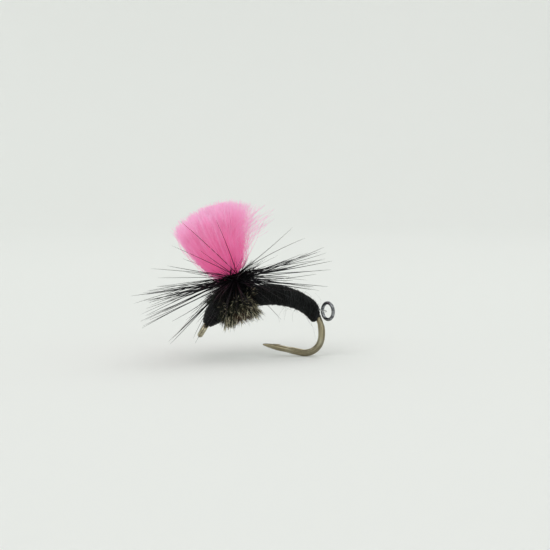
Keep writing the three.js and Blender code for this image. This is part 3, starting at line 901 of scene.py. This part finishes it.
def herl_flue(rng):
    """Small locks that share a direction stand out from the stem, fanned along the hook."""
    s, r, angle = herl_quill(rng.uniform(0, 1, HERL_LOCKS))
    clear_of_post = (np.cos(angle) < 0.3) | (np.abs(s - POST_S) > HERL_POST_GAP)
    s, r, angle = s[clear_of_post], r[clear_of_post], angle[clear_of_post]
    count = len(s)
    tilt = 0.17 * (s - HERL_MIDDLE) + rng.normal(0, 0.26, count)
    swirl = rng.normal(0.1, 0.25, count)
    long = rng.uniform(size=count) < HERL_LONG_SHARE
    lock_length = np.where(long, HERL_LONG, rng.uniform(*HERL_LENGTH, count))

    def spread(values, amount):
        return np.repeat(values, HERL_PER_LOCK) + rng.normal(0, amount, count * HERL_PER_LOCK)

    s, angle, tilt, swirl = spread(s, 0.05), spread(angle, 0.04), spread(tilt, 0.12), spread(swirl, 0.12)
    root = round_wire(s, np.repeat(r, HERL_PER_LOCK) - 0.02, angle)
    radial = unit(root - place(s))
    h = heading_at(s)
    ahead = np.stack([np.cos(h), 0 * h, np.sin(h)], -1)
    aim = unit(radial + ahead * tilt[:, None] + np.cross(ahead, radial) * swirl[:, None])
    above = np.clip(np.cos(angle), 0, 1)
    length = np.repeat(lock_length, HERL_PER_LOCK) * (1 - 0.35 * above) * rng.uniform(0.7, 1.05, len(s))
    t = np.linspace(0, 1, 5)[None, :, None]
    droop = ahead * np.sign(tilt)[:, None] - radial * 0.5
    reach = length[:, None, None]
    paths = root[:, None] + aim[:, None] * reach * t + droop[:, None] * 0.1 * reach * t**2
    shade = flue_shades(rng, s, angle)
    # The pale strands that paint glints are thicker, so that they show.
    thickness = rng.uniform(*HERL_FIBRE_R, len(s)) * np.where(shade > 0.88, HERL_GLINT_SWELL, 1)
    thickness = thickness[:, None] * np.array([[1, 1.05, 0.95, 0.75, 0.3]])
    return rings_of(paths, thickness, 3, rng), shade, False


def build_herl(herl):
    rng = np.random.default_rng(8)

    def stem(share, _):
        s, r, angle = herl_quill(share)
        return round_wire(s, r, angle)

    quill = winding(stem, HERL_TURNS, HERL_QUILL_R, 26, 6)
    bundles = [(quill, np.full(1, 0.72), False), herl_flue(rng)]
    piece("herl_flue", bundles, herl, ["peacock_herl"], uv=True)


# ---- wing post


def fan_point(distance, wide, deep):
    """Points at a distance from the fan's apex, at angles from its axis in and across the hook's plane."""
    lean_angle = math.radians(FAN_LEAN)
    axis = POST_AXIS * math.cos(lean_angle) - POST_BACK * math.sin(lean_angle)
    back = POST_BACK * math.cos(lean_angle) + POST_AXIS * math.sin(lean_angle)
    off = np.hypot(wide, deep)
    safe = np.maximum(off, 1e-6)
    side = back * (wide / safe)[..., None] + POST_NEAR * (deep / safe)[..., None]
    apex = POST_FOOT + POST_AXIS * FAN_APEX
    return apex + distance[..., None] * (axis * np.cos(off)[..., None] + side * np.sin(off)[..., None])


def yarn_fibres(rng, wide, deep, length, crimp, thickness, points=10, bow=1.0):
    """Fibres from inside the collar, flaring over its rim and straightening towards their tips.

    A bow under 1 keeps a fibre nearer the fan's axis until its tip.
    """
    count = len(wide)
    round_angle = np.arctan2(deep, wide)
    share = np.hypot(wide / math.radians(FAN_HALF_WIDE), deep / math.radians(FAN_HALF_DEEP))
    inner = YARN_RIM_R * np.clip(share, 0, 1)
    path = [round_post(inner * 0.9, round_angle, YARN_FROM), round_post(inner, round_angle, COLLAR_TO)]
    for distance, forward, behind, across in FAN_SPREAD:
        distance = np.full(count, distance) * np.minimum(1, length / FAN_TO)
        flare = np.clip(wide, -FLARE_HALF, FLARE_HALF) * (np.where(wide < 0, forward, behind) - 1)
        path.append(fan_point(distance, (wide + flare) * bow, deep * across))
    path.append(fan_point(length, wide, deep))
    paths = spline(np.stack(path, 1), points)
    t = np.linspace(0, 1, points)[None, :, None]
    phase = rng.uniform(0, TURN, (count, 1, 2))
    waves = rng.uniform(1.5, 3.5, (count, 1, 2))
    sway = np.sin(TURN * waves * t + phase) * t * crimp
    paths = paths + POST_BACK * sway[..., :1] + POST_NEAR * sway[..., 1:]
    taper = np.linspace(1, 0.75, points)[None] * thickness[:, None]
    return rings_of(paths, taper, 3, rng), rng.uniform(0, 0.97, count), False


def fan_fibres(rng):
    """The fan, in locks of fibres that share a direction, so that it is streaked."""
    half_wide, half_deep = math.radians(FAN_HALF_WIDE), math.radians(FAN_HALF_DEEP)
    r = np.sqrt(rng.uniform(0, 1, YARN_LOCKS))
    a = rng.uniform(0, TURN, YARN_LOCKS)
    wide = np.repeat(r * np.cos(a) * half_wide, YARN_PER_LOCK)
    deep = np.repeat(r * np.sin(a) * half_deep, YARN_PER_LOCK)
    count = len(wide)
    # They lie looser towards the fan's rear edge.
    loose = 0.035 + 0.1 * np.clip(wide / half_wide, 0, 1) ** 3
    wide = wide + rng.normal(0, 1, count) * loose
    deep = deep + rng.normal(0, 0.035, count)
    uneven = np.repeat(rng.normal(0, 0.14, YARN_LOCKS), YARN_PER_LOCK) + rng.normal(0, 0.17, count)
    length = FAN_TO - 0.3 + uneven
    short = rng.uniform(size=count) < 0.12
    length = np.where(short, length * rng.uniform(0.75, 0.97, count), length)
    fine = 1 - 0.65 * np.clip(1.4 * wide / half_wide - 0.4, 0, 1)
    return yarn_fibres(rng, wide, deep, length, 0.07, rng.uniform(*YARN_R, count) * fine)


def stray_fibres(rng):
    """Crimped fibres that stand off the fan: half behind it, some before it, the rest among it."""
    wide = rng.normal(0, 0.42, STRAYS)
    side = rng.uniform(size=STRAYS)
    behind, before = 0.42 + 0.5 * np.abs(wide), -0.47 - 0.1 * np.abs(wide)
    wide = np.select([side < 0.5, side < 0.68], [behind, before], wide)
    wide = np.clip(wide, STRAY_FRONT, STRAY_REAR)
    deep = np.clip(rng.normal(0, 0.3, STRAYS), -STRAY_SIDE, STRAY_SIDE)
    length = rng.uniform(*STRAY_LENGTH, STRAYS)
    bow = np.where(wide > 0, rng.uniform(0.62, 0.95, STRAYS), rng.uniform(0.85, 1.1, STRAYS))
    return yarn_fibres(rng, wide, deep, length, 0.32, rng.uniform(*STRAY_R, STRAYS), 24, bow)


def build_post(yarn):
    rng = np.random.default_rng(21)
    piece("post_fibres", [fan_fibres(rng)], yarn, ["post_yarn"], uv=True)
    piece("post_stray_fibres", [stray_fibres(rng)], yarn, uv=True)


# ---- hackle


def stem_point(share):
    turned = share * STEM_TURNS
    return round_post(COLLAR_R + GAP + STEM_R, turned * TURN, STEM_FROM + turned * STEM_PITCH)


def leaving_post(azimuth, elevation):
    """Directions at angles round the post and up from the hackle's plane."""
    azimuth, elevation = azimuth[:, None], elevation[:, None]
    flat = POST_BACK * np.cos(azimuth) + POST_NEAR * np.sin(azimuth)
    return flat * np.cos(elevation) + POST_AXIS * np.sin(elevation)


def hackle_barbs(rng, share, aim, length, thickness, sides=6, points=14):
    """Tapered barbs from the wound stem, each with a slight sweep of its own."""
    root = stem_point(share)
    across = unit(np.cross(POST_AXIS, aim))
    t = np.linspace(0, 1, points)[None, :, None]
    count = len(share)
    sweep = rng.normal(0.02, 0.05, (count, 1, 1))
    droop = rng.normal(0.0, 0.05, (count, 1, 1))
    reach = length[:, None, None]
    paths = root[:, None] + aim[:, None] * reach * t
    paths = paths + across[:, None] * sweep * reach * t**2 + POST_AXIS * droop * reach * (t**2 - 0.5 * t)
    taper = (1 - np.linspace(0, 1, points)) ** 0.55 * (1 - BARB_END_R) + BARB_END_R
    return rings_of(paths, thickness[:, None] * taper[None], sides, rng), rng.uniform(0, 0.97, count), False


def long_barbs(rng):
    """The hackle itself: neighbours on the stem rise alike, in threes, and fewer stand behind the post."""
    count = HACKLE_CLUMPS * HACKLE_PER_CLUMP
    share = (np.arange(count) + rng.uniform(-0.3, 0.3, count) + 0.5) / count
    azimuth = share * STEM_TURNS * TURN + rng.normal(0, 0.09, count)
    scatter = np.clip(np.repeat(rng.normal(0, 1, HACKLE_CLUMPS), HACKLE_PER_CLUMP), -1.8, 2)
    scatter = scatter + rng.normal(0, 0.22, count)
    keep = (np.cos(azimuth) < 0.3) | (rng.uniform(size=count) < HACKLE_KEPT_BEHIND)
    share, azimuth, scatter = share[keep], azimuth[keep], scatter[keep]
    count = len(share)
    behind = np.cos(azimuth)
    near_side = np.clip(np.sin(azimuth), 0, 1)
    # They scatter less and are shorter behind the post, and droop more on the near side.
    droop = HACKLE_DROOP + behind + 3 * near_side
    elevation = np.radians(scatter * (HACKLE_SCATTER - 3 * behind) - droop)
    length = rng.uniform(*HACKLE_LENGTH, count) - 0.3 * behind
    length = length - HACKLE_SHORTER * (rng.uniform(size=count) < HACKLE_SHORT_SHARE)
    aim = leaving_post(azimuth, elevation)
    return hackle_barbs(rng, share, aim, length, rng.uniform(*HACKLE_R, count))


def soft_barbs(rng):
    """Short down that fills the root of the hackle, and stands up from its last turn."""
    azimuth = rng.uniform(0, TURN, SOFT_BARBS)
    turn = rng.integers(0, STEM_TURNS, SOFT_BARBS)
    share = (turn + azimuth / TURN) / STEM_TURNS
    rise = rng.normal(-SOFT_DROOP, SOFT_SCATTER, SOFT_BARBS) + SOFT_TOP_RISE * (turn == STEM_TURNS - 1)
    aim = leaving_post(azimuth, np.radians(rise))
    length = rng.gamma(3.0, 0.45, SOFT_BARBS) + 0.6
    return hackle_barbs(rng, share, aim, length, rng.uniform(*SOFT_R, SOFT_BARBS), 3, 7)


def hanging_barbs(rng):
    """Webby barbs of the feather's base, which hang over the thorax."""
    azimuth = rng.uniform(0, TURN, HANGING_BARBS)
    share = (rng.integers(0, 2, HANGING_BARBS) + azimuth / TURN) / STEM_TURNS
    least, most = HANGING_DROOP
    aim = leaving_post(azimuth, np.radians(rng.uniform(-most, -least, HANGING_BARBS)))
    length = rng.uniform(*HANGING_LENGTH, HANGING_BARBS)
    return hackle_barbs(rng, share, aim, length, rng.uniform(*HANGING_R, HANGING_BARBS), 4, 9)


# Single barbs, most of them caught upright against the post, and in the last three rows the stem's
# trimmed butt: angles in degrees up from +X in the hook's plane and out of it towards -Y, then length
# and radius.
SINGLE_BARBS = np.array([
    (134, 21, 8.7, 0.038),
    (107, 27, 7.0, 0.034),
    (152, 20, 7.4, 0.034),
    (143, 25, 5.2, 0.03),
    (173, 12, 8.6, 0.036),
    (180, 14, 7.6, 0.036),
    (38, 5, 7.6, 0.036),
    (31, -8, 8.4, 0.036),
    (60, 12, 2.4, 0.03),
    (86, 20, 1.5, 0.07),
    (72, 27, 1.1, 0.05),
])  # fmt: skip


def single_barbs(rng):
    up, near, length, radius = SINGLE_BARBS.T
    up, near = np.radians(up), np.radians(near)
    aim = np.stack([np.cos(up) * np.cos(near), -np.sin(near), np.sin(up) * np.cos(near)], -1)
    share = (STEM_TURNS - 1 + np.linspace(0.14, 0.38, len(SINGLE_BARBS))) / STEM_TURNS
    return hackle_barbs(rng, share, aim, length, radius)


def build_hackle(feather, web):
    rng = np.random.default_rng(19)

    def stem(share, _):
        return stem_point(share)

    quill = (winding(stem, STEM_TURNS, STEM_R, 30, 8), np.full(1, 0.3), False)
    barbs, down, veil, single = long_barbs(rng), soft_barbs(rng), hanging_barbs(rng), single_barbs(rng)
    bundles = [quill, barbs, single]
    piece("hackle_barbs", bundles, feather, ["hackle_feather"], uv=True)
    piece("hackle_web", [down, veil], web, uv=True)


# ---- studio


def build_stage():
    """A floor that touches the hook's bend and sweeps up into a pale wall all round."""
    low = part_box("hook")[0].z / MM
    flat, sweep, wall = 320.0, 180.0, 120.0
    bend = np.linspace(0, math.pi / 2, 16)
    r = np.concatenate([[0.5, 40, 120, 220], flat + sweep * np.sin(bend), [flat + sweep]])
    z = np.concatenate([[0, 0, 0, 0], sweep * (1 - np.cos(bend)), [sweep + wall]]) + low
    angle = angles_round(96)
    centre = (cad_box[0] + cad_box[1]) / 2 / MM
    x = centre.x + r[:, None] * np.cos(angle)
    y = centre.y + r[:, None] * np.sin(angle)
    rings = np.stack([x, y, z[:, None] + 0 * x], -1)
    count, sides = rings.shape[:2]
    quads, _ = faces_of(1, count, sides, False)
    faces = quads[:, ::-1].tolist() + [list(range(sides))]
    mesh = bpy.data.meshes.new("studio_floor")
    mesh.from_pydata((rings.reshape(-1, 3) * MM).tolist(), [], faces)
    mesh.polygons.foreach_set("use_smooth", np.ones(len(mesh.polygons), bool))
    mesh.materials.append(stage_material())
    floor = bpy.data.objects.new("studio_floor", mesh)
    bpy.context.scene.collection.objects.link(floor)


# Softboxes: name, place from the fly's middle in metres, power in watts.
SOFTBOXES = [
    ("key_softbox", (-0.5, -0.6, 0.8), 2.5),
    ("front_softbox", (0.2, -1.1, 0.45), 1.6),
    ("back_softbox", (0.35, 0.6, 0.8), 1.6),
]
SOFTBOX_SIZE = 0.6
ROOM_COLOUR, ROOM_STRENGTH = (0.985, 1, 0.965, 1), 0.775


def build_lights():
    middle = (cad_box[0] + cad_box[1]) / 2
    for name, place_from_middle, power in SOFTBOXES:
        data = bpy.data.lights.new(name, "AREA")
        data.size = SOFTBOX_SIZE
        data.energy = power
        light = bpy.data.objects.new(name, data)
        light.location = middle + Vector(place_from_middle)
        light.rotation_euler = (middle - light.location).to_track_quat("-Z", "Y").to_euler()
        bpy.context.scene.collection.objects.link(light)
    world = bpy.data.worlds.new("studio")
    world.use_nodes = True
    background = world.node_tree.nodes["Background"]
    background.inputs["Color"].default_value = ROOM_COLOUR
    background.inputs["Strength"].default_value = ROOM_STRENGTH
    bpy.context.scene.world = world
    bpy.context.scene.view_settings.view_transform = "Standard"


VIEW_CENTRE = Vector((0.00722, 0, 0.00556))  # what the middle of the picture shows
VIEW_WIDTH = 0.055  # that the picture spans at the fly
VIEW_ELEVATION = 4  # degrees
LENS, SENSOR = 100, 36


def build_camera():
    data = bpy.data.cameras.new("camera")
    data.lens = LENS
    data.sensor_width = SENSOR
    data.clip_start = 0.005
    data.clip_end = 5
    camera = bpy.data.objects.new("camera", data)
    tilt = math.radians(VIEW_ELEVATION)
    distance = VIEW_WIDTH * LENS / SENSOR
    back = Vector((0, -math.cos(tilt), math.sin(tilt)))
    camera.location = VIEW_CENTRE + back * distance
    camera.rotation_euler = (-back).to_track_quat("-Z", "Y").to_euler()
    bpy.context.scene.collection.objects.link(camera)
    bpy.context.scene.camera = camera


# ---- assembly

build_camera()
build_stage()
build_lights()

waxed_thread = thread_material("black_thread", 0.5)
build_hook(bronze_material())
build_ring(steel_material())
build_nylon(nylon_material())
build_thread(waxed_thread, thread_material("cemented_thread", 0.35))
build_cement(cement_material())
build_abdomen(wool_material())
build_herl(herl_material())
build_post(yarn_material())
build_hackle(hackle_material("black_hackle", 0.34, 0.1), hackle_material("hackle_web", 0.7, 0.05))

# These two lie under other layers, so their CAD solids stay, as thread.
for hidden in ("tail_binding", "post_binding"):
    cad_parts[hidden].data.materials.clear()
    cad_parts[hidden].data.materials.append(waxed_thread)
